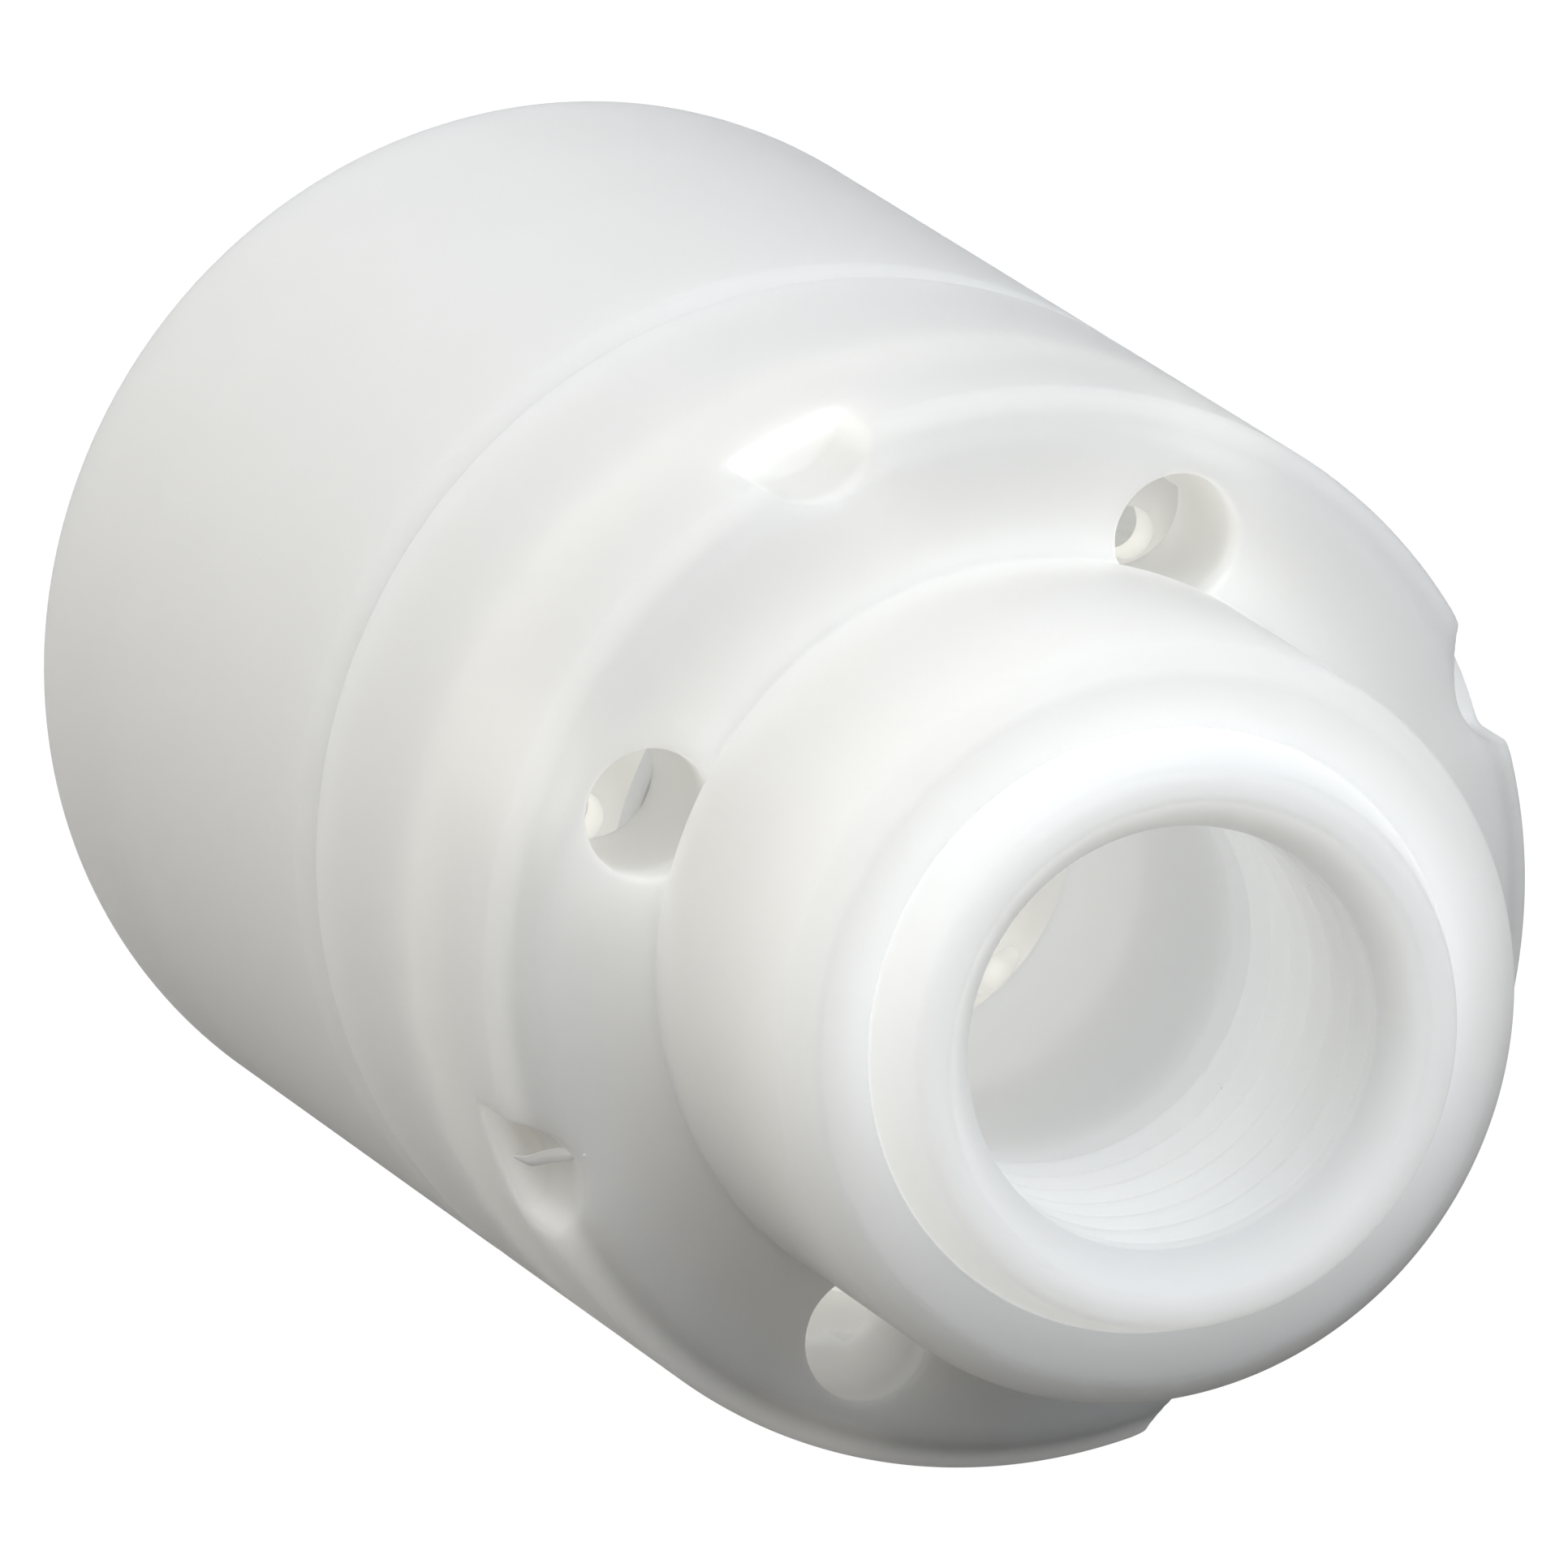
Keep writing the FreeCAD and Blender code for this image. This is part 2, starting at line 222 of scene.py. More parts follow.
def pipe_thread_relief(station, radius, angle):
    """Cut the pipe thread into the insert's bore, its crests and roots rounded by a worn tap."""
    if abs(radius - PORT_RADIUS) > ON_THREAD:
        return radius
    if not PIPE_THREAD_START < station < PIPE_THREAD_END:
        return radius
    phase = helix_phase(station, angle, PIPE_PITCH)
    depth = PIPE_THREAD_DEPTH * (0.5 + 0.5 * math.cos(2 * math.pi * (phase - 0.5)))
    fade = 1 - smooth_step(PIPE_THREAD_END - PIPE_THREAD_RUN_OUT, PIPE_THREAD_END, station)
    fade *= smooth_step(PIPE_THREAD_START, PIPE_THREAD_START + PIPE_THREAD_LEAD_IN, station)
    return radius + depth * fade


def screw_wave(station, angle):
    """0 at the skirt's crest and 1 at its root, with flat crest and root."""
    phase = helix_phase(station, angle, SCREW_PITCH)
    steepness = 2.2
    wave = (0.5 - abs(phase - 0.5)) * 2 * steepness - (steepness - 1) / 2
    return min(max(wave, 0.0), 1.0)


def skirt_thread_relief(station, radius, angle):
    """The thread inside the cap's skirt."""
    if abs(radius - SKIRT_THREAD_CREST) > ON_THREAD or station < PLATE_SEAT:
        return radius
    fade = smooth_step(PLATE_SEAT + 0.3, PLATE_SEAT + 0.9, station)
    return radius + SCREW_DEPTH * screw_wave(station, angle) * fade


def spigot_thread_relief(station, radius, angle):
    """The thread on the can's spigot, with a lead-in at its front end."""
    if abs(radius - SPIGOT_THREAD_ROOT) > ON_THREAD or station > SEAL_BORE_FRONT:
        return radius
    lead_in = smooth_step(CAN_FRONT + 0.15, CAN_FRONT + 0.8, station)
    run_out = 1 - smooth_step(SEAL_BORE_FRONT - 0.6, SEAL_BORE_FRONT, station)
    return radius + SCREW_DEPTH * screw_wave(station, angle) * lead_in * run_out


def axial_cutter(radius, circle, front, back, angle):
    """A finely meshed round cutter along the axis, its centre on a circle about the axis."""
    outline = [Vector((front, 0)), Vector((front, radius)), Vector((back, radius)), Vector((back, 0))]
    outline = densify(outline, FINE_STEP)
    cutter = new_object("cutter", turned_mesh("cutter", outline, segments=84))
    turn = math.radians(angle)
    cutter.location = (circle * math.sin(turn) * MM, 0, circle * math.cos(turn) * MM)
    return cutter


def cut(obj, cutters):
    """Subtract cutters from an object and delete them."""
    for cutter in cutters:
        modifier = obj.modifiers.new("cut", "BOOLEAN")
        modifier.operation = "DIFFERENCE"
        modifier.solver = "EXACT"
        modifier.object = cutter
    applied(obj)
    for cutter in cutters:
        drop(cutter)


def soften_edges(obj, low, high, reach, rounds):
    """Round the sharp edges between two stations by evening out the fine mesh near them."""
    sharp = math.radians(25)
    pace = 0.6
    bm = bmesh.new()
    bm.from_mesh(obj.data)
    edge_points = []
    for edge in bm.edges:
        if len(edge.link_faces) == 2 and edge.calc_face_angle() > sharp:
            edge_points += [edge.verts[0].co, edge.verts[1].co]
    near = KDTree(len(edge_points))
    for index, point in enumerate(edge_points):
        near.insert(point, index)
    near.balance()
    movable = []
    for vert in bm.verts:
        if low * MM < vert.co.y < high * MM:
            distance = near.find(vert.co)[2]
            if distance < reach * MM:
                movable.append((vert, 1 - distance / (reach * MM)))
    for _ in range(rounds):
        moves = []
        for vert, share in movable:
            total = Vector()
            for edge in vert.link_edges:
                total += edge.other_vert(vert).co
            moves.append((total / len(vert.link_edges) - vert.co) * (pace * share))
        for (vert, _share), move in zip(movable, moves):
            vert.co += move
    bm.to_mesh(obj.data)
    bm.free()


def make_front_cap():
    """Port cap: hub, drilled end wall, notched rim and threaded skirt."""
    bore = INSERT_RADIUS + HUB_BORE_GAP
    soft_end = NOTCH_FLOOR + 0.6
    outline = rounded([
        (HUB_FRONT, bore, 0.04),
        (HUB_FRONT, HUB_RADIUS - HUB_CHAMFER_ACROSS, 0.45),
        (HUB_FRONT + HUB_CHAMFER_ALONG, HUB_RADIUS, 0.6),
        (CAP_FACE, HUB_RADIUS, HUB_FOOT_ROUND),
        (CAP_FACE, BODY_RADIUS - RIM_CHAMFER, 0.7),
        (CAP_FACE + RIM_CHAMFER, BODY_RADIUS, 0.7),
        (soft_end, BODY_RADIUS, 0.0),
        (SEAM, BODY_RADIUS, 0.1),
        (SEAM, SEAL_BORE, 0.15),
        (SEAL_BORE_FRONT, SEAL_BORE, 0.0),
        (SEAL_BORE_FRONT - 0.4, SKIRT_THREAD_CREST, 0.0),
        (PLATE_SEAT, SKIRT_THREAD_CREST, 0.0),
        (PLATE_SEAT, PLENUM_RADIUS, 0.1),
        (CAP_WALL_BACK, PLENUM_RADIUS, 0.1),
        (CAP_WALL_BACK, bore, 0.12),
    ])
    outline = densify(outline, SCREW_PITCH / 14,
                      lambda middle: middle.y < SEAL_BORE and PLATE_SEAT < middle.x < SEAL_BORE_FRONT)
    outline = densify(outline, FINE_STEP,
                      lambda middle: middle.y > HUB_RADIUS and CAP_FACE - 0.1 < middle.x < soft_end)
    mesh = turned_mesh("front_cap_turned", outline, skirt_thread_relief, segments=FINE_SEGMENTS)
    cap = new_object("front_cap_turned", mesh)
    holes = [axial_cutter(EXHAUST_RADIUS, EXHAUST_CIRCLE, CAP_FACE - HUB_FOOT_ROUND, PLATE_SEAT + 0.01,
                          CLOCKING + 90 * k)
             for k in range(4)]
    notches = [axial_cutter(NOTCH_RADIUS, NOTCH_CIRCLE, 5, NOTCH_FLOOR, 90 * k - CLOCKING)
               for k in range(4)]
    cut(cap, holes + notches)
    soften_edges(cap, CAP_FACE - 0.05, soft_end, reach=0.45, rounds=12)
    cap.data.shade_smooth()
    cap.data.set_sharp_from_angle(angle=math.radians(45))
    weighted = cap.modifiers.new("weighted", "WEIGHTED_NORMAL")
    weighted.keep_sharp = True
    applied(cap)
    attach(cap, "port_head")
    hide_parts("front_cap")
    return cap


def make_inlet_insert():
    """Insert with its rounded bead, countersunk mouth, pipe thread, flange and tube."""
    bead_crest = insert_low.y
    bead_middle = 6.9
    bead_half_flat = 0.4
    flange_front = PLATE_SEAT - 1.1
    flange_radius = insert_high.x
    tube_radius = 6.9
    outer = [
        (flange_front, INSERT_RADIUS, 0.1),
        (flange_front, flange_radius, 0.1),
        (PLATE_SEAT, flange_radius, 0.1),
        (PLATE_SEAT, tube_radius, 0.15),
        (TUBE_END, tube_radius, 0.15),
        (TUBE_END, PORT_RADIUS, 0.15),
        (0.0, PORT_RADIUS, 0.12),
        (bead_crest, bead_middle - bead_half_flat, 0.35),
        (bead_crest, bead_middle + bead_half_flat, 0.8),
        (HUB_FRONT - 0.15, INSERT_RADIUS, 0.4),
    ]
    outline = densify(rounded(outer, steps=10), PIPE_PITCH / 18,
                      lambda middle: middle.y < PORT_RADIUS + 0.1)
    mesh = turned_mesh("inlet_insert_threaded", outline, pipe_thread_relief)
    insert = new_object("inlet_insert_threaded", mesh, 50)
    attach(insert, "port_head")
    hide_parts("inlet_insert")
    return insert


def make_rear_can():
    """Closed can with its threaded spigot, collar, seal groove and seam chamfer."""
    spigot_bore = 11.2
    collar = 13.05
    groove_front = 22.9
    groove_back = groove_front + 1.3
    groove_radius = 12.19
    chamfer_end = SEAM + 1.45
    floor = 42.8
    outline = rounded([
        (CAN_FRONT, spigot_bore, 0.15),
        (CAN_FRONT, SPIGOT_THREAD_ROOT, 0.0),
        (SEAL_BORE_FRONT, SPIGOT_THREAD_ROOT, 0.0),
        (SEAL_BORE_FRONT + 0.2, collar, 0.06),
        (groove_front, collar, 0.08),
        (groove_front, groove_radius, 0.15),
        (groove_back, groove_radius, 0.15),
        (groove_back, collar, 0.08),
        (SEAM, collar, 0.0),
        (chamfer_end, BODY_RADIUS, 0.9),
        (CAN_REAR, BODY_RADIUS, 0.4),
        (CAN_REAR, 0.0, 0.0),
        (floor, 0.0, 0.0),
        (floor, spigot_bore, 0.6),
    ])
    outline = densify(outline, SCREW_PITCH / 14,
                      lambda middle: middle.x < SEAL_BORE_FRONT and middle.y > spigot_bore + 0.1)
    can = new_object("rear_can_turned", turned_mesh("rear_can_turned", outline, spigot_thread_relief), 40)
    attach(can, "can")
    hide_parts("rear_can")
    return can


def make_swarf():
    """A loose curl of swarf left in one notch by the drill: a thin, bent and frayed ribbon."""
    # (radius, station, angle in degrees) along the ribbon's two edges, from the skirt to the face
    upper = [(14.1, 12.6, -110.6), (13.9, 12.35, -111.1), (13.5, 11.9, -110.4), (13.15, 11.4, -110.2),
             (12.95, 10.85, -110.6), (12.8, 10.6, -110.9)]
    lower = [(14.0, 12.6, -111.3), (13.85, 12.3, -112.4), (13.5, 11.85, -111.8), (13.25, 11.4, -111.8),
             (13.0, 10.85, -111.3), (12.8, 10.6, -111.2)]
    across = 4
    bulge = 0.05
    raggedness = 0.012
    thickness = 0.05
    rng = random.Random(5)
    verts = []
    for (r1, y1, a1), (r2, y2, a2) in zip(upper, lower):
        for k in range(across + 1):
            t = k / across
            angle = math.radians(a1 + (a2 - a1) * t)
            radius = r1 + (r2 - r1) * t + bulge * math.sin(math.pi * t)
            radius += rng.uniform(-raggedness, raggedness)
            station = y1 + (y2 - y1) * t
            verts.append((radius * math.sin(angle) * MM, station * MM, radius * math.cos(angle) * MM))
    faces = []
    for row in range(len(upper) - 1):
        for k in range(across):
            corner = row * (across + 1) + k
            faces.append((corner, corner + 1, corner + across + 2, corner + across + 1))
    mesh = bpy.data.meshes.new("notch_swarf")
    mesh.from_pydata(verts, [], faces)
    swarf = new_object("notch_swarf", mesh)
    smooth = swarf.modifiers.new("smooth", "SUBSURF")
    smooth.levels = 2
    thick = swarf.modifiers.new("thick", "SOLIDIFY")
    thick.thickness = thickness * MM
    thick.offset = 0
    applied(swarf)
    swarf.data.shade_smooth()
    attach(swarf, "port_head")
    return swarf


# ---------------------------------------------------------------- materials

# Weak emission stands for the light that passes through the waxy walls: strengths on the body's outside,
# the cap's face, the hub, the insert's bead, the pieces inside, the cap's hollows and the bore.
HOUSING_GLOW = 0.16
FRONT_GLOW = 0.09
HUB_GLOW = 0.13
INSERT_GLOW = 0.28
INNER_GLOW = 0.115
HOLLOW_GLOW = 0.055
BORE_GLOW = 0.095
GLOW_TINT = (1.0, 1.0, 0.985, 1.0)
SPECK_COLOUR = (0.35, 0.32, 0.28, 1.0)


class Nodes:
    """A short way to add and link shader nodes of one material."""

    def __init__(self, name):
        self.material = bpy.data.materials.new(name)
        self.material.use_nodes = True
        self.tree = self.material.node_tree
        self.shader = self.tree.nodes["Principled BSDF"]

    def add(self, kind, **settings):
        """A new node with its settings."""
        node = self.tree.nodes.new(kind)
        for key, value in settings.items():
            setattr(node, key, value)
        return node

    def link(self, output, target):
        """Join an output socket to an input socket."""
        self.tree.links.new(output, target)

    def noise(self, scale, detail):
        """Noise in the object's own coordinates."""
        place = self.add("ShaderNodeTexCoord")
        noise = self.add("ShaderNodeTexNoise")
        noise.inputs["Scale"].default_value = scale
        noise.inputs["Detail"].default_value = detail
        noise.inputs["Roughness"].default_value = 0.55
        self.link(place.outputs["Object"], noise.inputs["Vector"])
        return noise

    def ramp(self, source, stops):
        """A colour ramp with (position, colour) stops."""
        ramp = self.add("ShaderNodeValToRGB")
        elements = ramp.color_ramp.elements
        while len(elements) < len(stops):
            elements.new(0.5)
        for element, (position, colour) in zip(elements, stops):
            element.position = position
            element.color = (*colour, 1.0)
        self.link(source, ramp.inputs["Fac"])
        return ramp

    def fade(self, value, start, end, from_value, to_value):
        """A smooth change of strength while a length goes from start to end, in millimetres."""
        change = self.add("ShaderNodeMapRange", interpolation_type="SMOOTHSTEP")
        change.inputs["From Min"].default_value = start * MM
        change.inputs["From Max"].default_value = end * MM
        change.inputs["To Min"].default_value = from_value
        change.inputs["To Max"].default_value = to_value
        self.link(value, change.inputs["Value"])
        return change.outputs["Result"]

    def calculated(self, operation, first, second):
        """The result of a calculation with two sockets."""
        node = self.add("ShaderNodeMath", operation=operation)
        self.link(first, node.inputs[0])
        self.link(second, node.inputs[1])
        return node.outputs[0]

    def split_place(self):
        """The place in the object's own coordinates as three sockets."""
        place = self.add("ShaderNodeTexCoord")
        split = self.add("ShaderNodeSeparateXYZ")
        self.link(place.outputs["Object"], split.inputs["Vector"])
        return split.outputs

    def turned_place(self):
        """Radius from the Y axis and station along it, as two sockets."""
        place = self.split_place()
        across = self.add("ShaderNodeCombineXYZ")
        self.link(place["X"], across.inputs["X"])
        self.link(place["Z"], across.inputs["Z"])
        length = self.add("ShaderNodeVectorMath", operation="LENGTH")
        self.link(across.outputs["Vector"], length.inputs[0])
        return length.outputs["Value"], place["Y"]

    def height(self):
        """Height over the Y axis."""
        return self.split_place()["Z"]

    def edge_wear(self, roughness):
        """Add to a roughness where edges are scuffed, in patches along them."""
        nearly_flat, sharp = 0.51, 0.57
        extra_roughness = 0.3
        geometry = self.add("ShaderNodeNewGeometry")
        edges = self.add("ShaderNodeMapRange")
        edges.inputs["From Min"].default_value = nearly_flat
        edges.inputs["From Max"].default_value = sharp
        edges.inputs["To Max"].default_value = extra_roughness
        self.link(geometry.outputs["Pointiness"], edges.inputs["Value"])
        patches = self.noise(scale=400, detail=3)
        scuffed = self.calculated("MULTIPLY", edges.outputs["Result"], patches.outputs["Fac"])
        return self.calculated("ADD", scuffed, roughness)

    def specks(self, colour, speck_colour):
        """Mix in a few dust specks, where the middles of a scattered pattern's cells meet the surface."""
        cells_per_metre = 330
        size_in_cells = 0.008
        place = self.add("ShaderNodeTexCoord")
        cells = self.add("ShaderNodeTexVoronoi")
        cells.inputs["Scale"].default_value = cells_per_metre
        self.link(place.outputs["Object"], cells.inputs["Vector"])
        middle = self.add("ShaderNodeMath", operation="LESS_THAN")
        middle.inputs[1].default_value = size_in_cells
        self.link(cells.outputs["Distance"], middle.inputs[0])
        # a colour mix has its two colours on inputs 6 and 7 and its result on output 2
        mix = self.add("ShaderNodeMix", data_type="RGBA")
        self.link(middle.outputs[0], mix.inputs["Factor"])
        self.link(colour, mix.inputs[6])
        mix.inputs[7].default_value = speck_colour
        return mix.outputs[2]

    def bump(self, height, strength, height_mm, normal=None):
        """A bump from a height socket, on top of another bump's normal if there is one."""
        bump = self.add("ShaderNodeBump")
        bump.inputs["Strength"].default_value = strength
        bump.inputs["Distance"].default_value = height_mm * MM
        self.link(height, bump.inputs["Height"])
        if normal is not None:
            self.link(normal, bump.inputs["Normal"])
        return bump


def housing_glow(n):
    """Light that comes through the housing's walls: strong on its skin, weak in its hollows.

    The hub and the cap's face soak it up from above, so they have less of it low down.
    """
    low, high = -9.0, 4.0
    share_low_down = 0.45
    hollow_radius = 12.9
    radius, station = n.turned_place()
    outside = n.fade(radius, BODY_RADIUS - 1.0, BODY_RADIUS - 0.2, 0.0, HOUSING_GLOW)
    front = n.fade(station, CAP_FACE + 0.3, CAP_FACE + 1.2, FRONT_GLOW, 0.0)
    hub = n.fade(station, HUB_FRONT, CAP_FACE, HUB_GLOW, 0.0)
    soaked = n.fade(n.height(), low, high, share_low_down, 1.0)
    on_front = n.calculated("MULTIPLY", n.calculated("ADD", front, hub), soaked)
    closed_end = n.fade(station, CAN_REAR - 0.4, CAN_REAR - 0.1, 0.0, HOUSING_GLOW)
    on_skin = n.calculated("MAXIMUM", n.calculated("MAXIMUM", outside, closed_end), on_front)
    behind = n.fade(station, CAP_FACE, CAP_FACE + 2.5, 0.0, HOLLOW_GLOW)
    ahead = n.fade(station, PLATE_SEAT, PLATE_SEAT + 0.1, 1.0, 0.0)
    inside = n.fade(radius, hollow_radius, hollow_radius + 0.1, 1.0, 0.0)
    in_hollows = n.calculated("MULTIPLY", n.calculated("MULTIPLY", behind, ahead), inside)
    return n.calculated("ADD", on_skin, in_hollows)


def insert_glow(n):
    """Light that comes through the insert: strong on its bead, weak in its bore and on its flange."""
    share_at_mouth = 0.2
    full_depth = 7.0
    bore_edge, flange_edge = 6.6, 8.2
    radius, station = n.turned_place()
    front = n.fade(station, HUB_FRONT, HUB_FRONT + 0.5, INSERT_GLOW, 0.0)
    beyond = n.fade(radius, PORT_RADIUS, PORT_RADIUS + 1.2, share_at_mouth, 1.0)
    on_bead = n.calculated("MULTIPLY", front, beyond)
    deep = n.fade(station, 0.0, full_depth, 0.0, BORE_GLOW)
    bore = n.fade(radius, bore_edge, bore_edge + 0.2, 1.0, 0.0)
    flange = n.fade(radius, flange_edge, flange_edge + 0.2, 0.0, 1.0)
    in_hollows = n.calculated("MULTIPLY", deep, n.calculated("ADD", bore, flange))
    return n.calculated("ADD", on_bead, in_hollows)


def fluoropolymer(name, light, dark, scatter_mm, roughness, glow=None):
    """Turned white fluoropolymer: waxy, light passes into it, with soft mottling and lathe marks.

    glow(n) gives the socket with the glow's strength. Without it the piece glows evenly, as the drilled
    pieces inside do.
    """
    n = Nodes(name)
    mottle = n.noise(scale=220, detail=3)
    colour = n.ramp(mottle.outputs["Fac"], [(0.35, dark), (0.65, light)])
    specked = n.specks(colour.outputs["Color"], SPECK_COLOUR)
    n.link(specked, n.shader.inputs["Base Color"])
    n.shader.subsurface_method = "BURLEY"
    n.shader.inputs["Subsurface Weight"].default_value = 1.0
    n.shader.inputs["Subsurface Radius"].default_value = (1.0, 0.95, 0.85)
    n.shader.inputs["Subsurface Scale"].default_value = scatter_mm * MM
    n.shader.inputs["IOR"].default_value = 1.36
    n.shader.inputs["Specular IOR Level"].default_value = 0.3
    n.shader.inputs["Emission Color"].default_value = GLOW_TINT
    if glow is not None:
        n.link(glow(n), n.shader.inputs["Emission Strength"])
    else:
        n.shader.inputs["Emission Strength"].default_value = INNER_GLOW
    sheen = n.noise(scale=900, detail=4)
    rough = n.add("ShaderNodeMapRange")
    rough.inputs["To Min"].default_value = roughness - 0.06
    rough.inputs["To Max"].default_value = roughness + 0.08
    n.link(sheen.outputs["Fac"], rough.inputs["Value"])
    n.link(n.edge_wear(rough.outputs["Result"]), n.shader.inputs["Roughness"])
    # lathe marks run round the axis, so their height changes only along it and with the radius
    radius, station = n.turned_place()
    ring_place = n.add("ShaderNodeCombineXYZ")
    n.link(radius, ring_place.inputs["X"])
    n.link(station, ring_place.inputs["Y"])
    marks = n.add("ShaderNodeTexNoise")
    marks.inputs["Scale"].default_value = 5200
    marks.inputs["Detail"].default_value = 3
    n.link(ring_place.outputs["Vector"], marks.inputs["Vector"])
    wave = n.noise(scale=120, detail=2)
    waviness = n.bump(wave.outputs["Fac"], strength=0.25, height_mm=0.08)
    lathe = n.bump(marks.outputs["Fac"], strength=0.25, height_mm=0.012, normal=waviness.outputs["Normal"])
    n.link(lathe.outputs["Normal"], n.shader.inputs["Normal"])
    return n.material


def plain_procedural(name, light, dark, scale, roughness, bump_strength, bump_mm, glow=0.0):
    """A simple mottled material for the pieces inside and the swarf."""
    n = Nodes(name)
    noise = n.noise(scale, detail=6)
    colour = n.ramp(noise.outputs["Fac"], [(0.3, dark), (0.7, light)])
    n.link(colour.outputs["Color"], n.shader.inputs["Base Color"])
    rough = n.add("ShaderNodeMapRange")
    rough.inputs["To Min"].default_value = roughness - 0.08
    rough.inputs["To Max"].default_value = roughness + 0.05
    n.link(noise.outputs["Fac"], rough.inputs["Value"])
    n.link(n.edge_wear(rough.outputs["Result"]), n.shader.inputs["Roughness"])
    n.shader.inputs["Emission Color"].default_value = GLOW_TINT
    n.shader.inputs["Emission Strength"].default_value = glow
    bump = n.bump(noise.outputs["Fac"], bump_strength, bump_mm)
    n.link(bump.outputs["Normal"], n.shader.inputs["Normal"])
    return n.material


def paint(obj, material):
    """Give an object one material."""
    obj.data.materials.clear()
    obj.data.materials.append(material)


# ---------------------------------------------------------------- build the object

housing_white = fluoropolymer("housing_white", light=(0.94, 0.94, 0.935), dark=(0.93, 0.93, 0.92),
                              scatter_mm=4.5, roughness=0.42, glow=housing_glow)
insert_white = fluoropolymer("insert_white", light=(0.92, 0.93, 0.94), dark=(0.91, 0.92, 0.93),
                             scatter_mm=5.0, roughness=0.35, glow=insert_glow)
drilled_white = fluoropolymer("drilled_white", light=(0.93, 0.93, 0.92), dark=(0.92, 0.92, 0.90),
                              scatter_mm=3.0, roughness=0.42)
swarf_white = plain_procedural("swarf_white", light=(0.93, 0.93, 0.92), dark=(0.88, 0.88, 0.87),
                               scale=1500, roughness=0.45, bump_strength=0.2, bump_mm=0.01, glow=0.14)
gasket_white = plain_procedural("gasket_white", light=(0.86, 0.86, 0.84), dark=(0.8, 0.8, 0.78),
                                scale=3000, roughness=0.7, bump_strength=0.3, bump_mm=0.02)
porous_white = plain_procedural("porous_white", light=(0.87, 0.87, 0.84), dark=(0.8, 0.8, 0.77),
                                scale=5000, roughness=0.9, bump_strength=0.7, bump_mm=0.04, glow=0.15)
mesh_white = plain_procedural("mesh_white", light=(0.84, 0.84, 0.81), dark=(0.7, 0.7, 0.68),
                              scale=2500, roughness=0.6, bump_strength=0.5, bump_mm=0.03, glow=0.05)
felt_white = plain_procedural("felt_white", light=(0.86, 0.84, 0.78), dark=(0.7, 0.68, 0.62),
                              scale=2200, roughness=0.95, bump_strength=1.0, bump_mm=0.09)
seal_black = plain_procedural("seal_black", light=(0.05, 0.048, 0.045), dark=(0.025, 0.024, 0.023),
                              scale=1800, roughness=0.45, bump_strength=0.2, bump_mm=0.01)

SLOT_MATERIALS = {
    "housing": housing_white,
    "insert": insert_white,
    "gasket": gasket_white,
    "inner_plastic": drilled_white,
    "porous_filter": porous_white,
    "mesh": mesh_white,
    "felt": felt_white,
    "seal": seal_black,
}
for part in frame["record"]["subparts"]:
    paint(frame["nodes"][part["node"]], SLOT_MATERIALS[part["material_slot"]])

paint(make_front_cap(), housing_white)
paint(make_inlet_insert(), insert_white)
paint(make_rear_can(), housing_white)
paint(make_swarf(), swarf_white)


# ---------------------------------------------------------------- floor, light and camera

def make_floor():
    """A plain pale floor under the muffler. It shows to the camera but bounces no light up."""
    mesh = bpy.data.meshes.new("floor")
    reach = 3.0
    gap = 0.02
    height = -(BODY_RADIUS + gap) * MM
    mesh.from_pydata([(-reach, -reach, height), (reach, -reach, height),
                      (reach, reach, height), (-reach, reach, height)], [], [(0, 1, 2, 3)])
    floor = bpy.data.objects.new("floor", mesh)
    bpy.context.scene.collection.objects.link(floor)
    n = Nodes("floor_paper")
    grain = n.noise(scale=40, detail=3)
    colour = n.ramp(grain.outputs["Fac"], [(0.3, (0.97, 0.97, 0.97)), (0.7, (0.985, 0.985, 0.985))])
    n.link(colour.outputs["Color"], n.shader.inputs["Emission Color"])
    n.shader.inputs["Emission Strength"].default_value = 1.0
    n.shader.inputs["Base Color"].default_value = (0.1, 0.1, 0.1, 1.0)
    n.shader.inputs["Roughness"].default_value = 0.9
    n.shader.inputs["Specular IOR Level"].default_value = 0.0
    paint(floor, n.material)
    floor.visible_diffuse = False
    floor.visible_glossy = False
    floor.visible_transmission = False


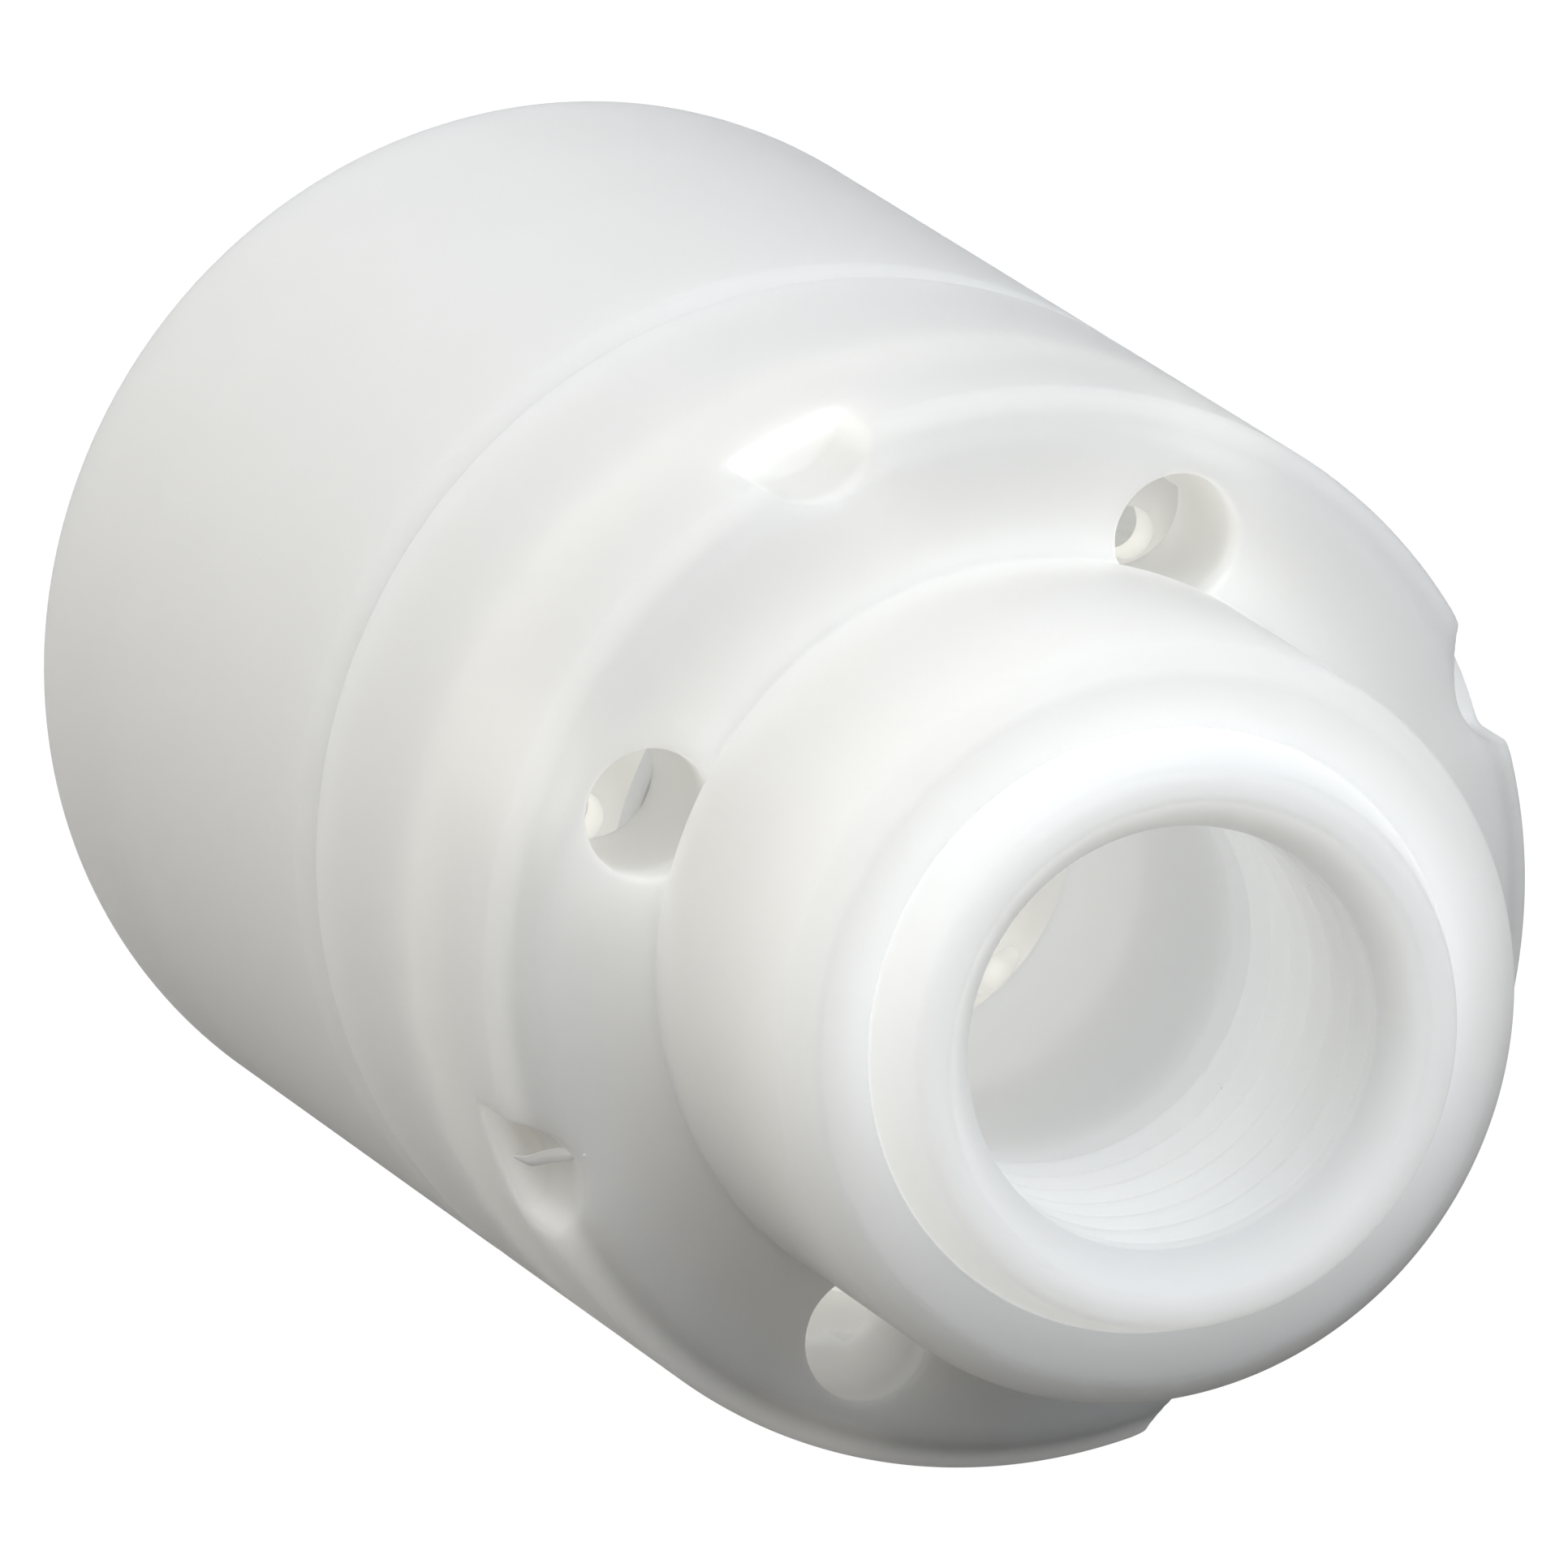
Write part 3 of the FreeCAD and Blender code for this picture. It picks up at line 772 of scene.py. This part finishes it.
def make_sky():
    """Soft studio light: a large softbox above and in front of the port, one left and one behind.

    Each is a smooth lobe of the world, given by its middle's azimuth (from -Y towards +X) and
    elevation in degrees, its tightness, its brightness and its tint.
    """
    lobes = [
        (15, 43, 6.5, 2.08, (0.97, 1.0, 1.035)),
        (-105, 22, 7, 1.62, (1.03, 1.0, 0.93)),
        (180, 50, 5, 0.62, (0.95, 1.0, 1.08)),
    ]
    world = bpy.data.worlds.new("studio")
    bpy.context.scene.world = world
    world.use_nodes = True
    tree = world.node_tree
    background = tree.nodes["Background"]
    place = tree.nodes.new("ShaderNodeTexCoord")
    total = None
    for azimuth, elevation, tightness, brightness, tint in lobes:
        turn, rise = math.radians(azimuth), math.radians(elevation)
        aim = tree.nodes.new("ShaderNodeVectorMath")
        aim.operation = "DOT_PRODUCT"
        aim.inputs[1].default_value = (math.sin(turn) * math.cos(rise),
                                       -math.cos(turn) * math.cos(rise), math.sin(rise))
        tree.links.new(place.outputs["Generated"], aim.inputs[0])
        power = tree.nodes.new("ShaderNodeMath")
        power.operation = "MULTIPLY_ADD"
        power.inputs[1].default_value = tightness
        power.inputs[2].default_value = -tightness
        tree.links.new(aim.outputs["Value"], power.inputs[0])
        lobe = tree.nodes.new("ShaderNodeMath")
        lobe.operation = "EXPONENT"
        tree.links.new(power.outputs[0], lobe.inputs[0])
        scaled = tree.nodes.new("ShaderNodeVectorMath")
        scaled.operation = "SCALE"
        scaled.inputs[0].default_value = [brightness * channel for channel in tint]
        tree.links.new(lobe.outputs[0], scaled.inputs["Scale"])
        if total is None:
            total = scaled
        else:
            both = tree.nodes.new("ShaderNodeVectorMath")
            both.operation = "ADD"
            tree.links.new(total.outputs[0], both.inputs[0])
            tree.links.new(scaled.outputs[0], both.inputs[1])
            total = both
    tree.links.new(total.outputs[0], background.inputs["Color"])


def make_camera():
    """A long lens in front of the port, turned to the left of it and above it."""
    azimuth = math.radians(-20.4)
    elevation = math.radians(14.3)
    distance = 875.2 * MM
    # the rim's middle lies right of the camera's aim and below it
    rim_right = 5.782 * MM
    rim_below = 3.751 * MM
    back = Vector((math.sin(azimuth) * math.cos(elevation),
                   -math.cos(azimuth) * math.cos(elevation), math.sin(elevation)))
    right = Vector((math.cos(azimuth), math.sin(azimuth), 0))
    up = back.cross(right)
    rim_centre = Vector((0, CAP_FACE + RIM_CHAMFER, 0)) * MM
    data = bpy.data.cameras.new("camera")
    data.sensor_width = 36
    data.lens = 782.6
    data.clip_start = 0.01
    camera = bpy.data.objects.new("camera", data)
    bpy.context.scene.collection.objects.link(camera)
    camera.location = rim_centre - rim_right * right + rim_below * up + distance * back
    camera.rotation_euler = back.to_track_quat("Z", "Y").to_euler()
    bpy.context.scene.camera = camera


make_floor()
make_sky()
make_camera()
bpy.context.scene.view_settings.view_transform = "Standard"
